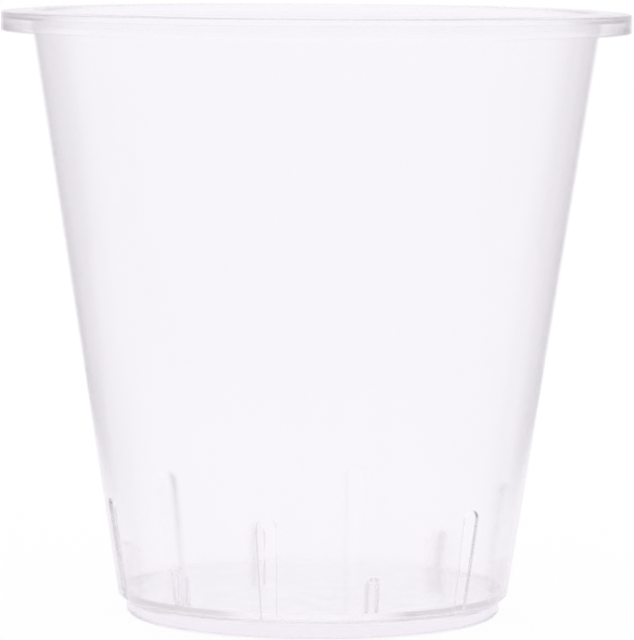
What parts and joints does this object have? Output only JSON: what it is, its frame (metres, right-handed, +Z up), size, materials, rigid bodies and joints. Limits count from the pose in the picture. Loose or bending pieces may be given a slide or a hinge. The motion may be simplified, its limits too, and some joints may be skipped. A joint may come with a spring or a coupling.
{
  "type": "orchid pot",
  "caption": "Clear round tapering orchid pot with a turned-out rim, round-headed slots low in its wall, nesting lugs inside and a raised floor on a foot ring.",
  "frame": {"origin": "middle of the foot ring's underside, on the pot's axis", "axes": "+Z up along the pot's axis, -Y through the middle of the front slot"},
  "size_m": [0.15, 0.15, 0.1445],
  "materials": {
    "clear_polypropylene": "clear, faintly milky injection-moulded polypropylene, polished"
  },
  "bodies": {
    "root": {"rim_flange": "clear_polypropylene", "rim_skirt": "clear_polypropylene", "upper_wall": "clear_polypropylene", "wall_panel_1": "clear_polypropylene", "wall_panel_2": "clear_polypropylene", "wall_panel_3": "clear_polypropylene", "wall_panel_4": "clear_polypropylene", "wall_panel_5": "clear_polypropylene", "wall_panel_6": "clear_polypropylene", "nesting_lug_1": "clear_polypropylene", "nesting_lug_2": "clear_polypropylene", "nesting_lug_3": "clear_polypropylene", "nesting_lug_4": "clear_polypropylene", "nesting_lug_5": "clear_polypropylene", "nesting_lug_6": "clear_polypropylene", "floor_plate": "clear_polypropylene", "foot_ring": "clear_polypropylene"}
  },
  "joints": []
}
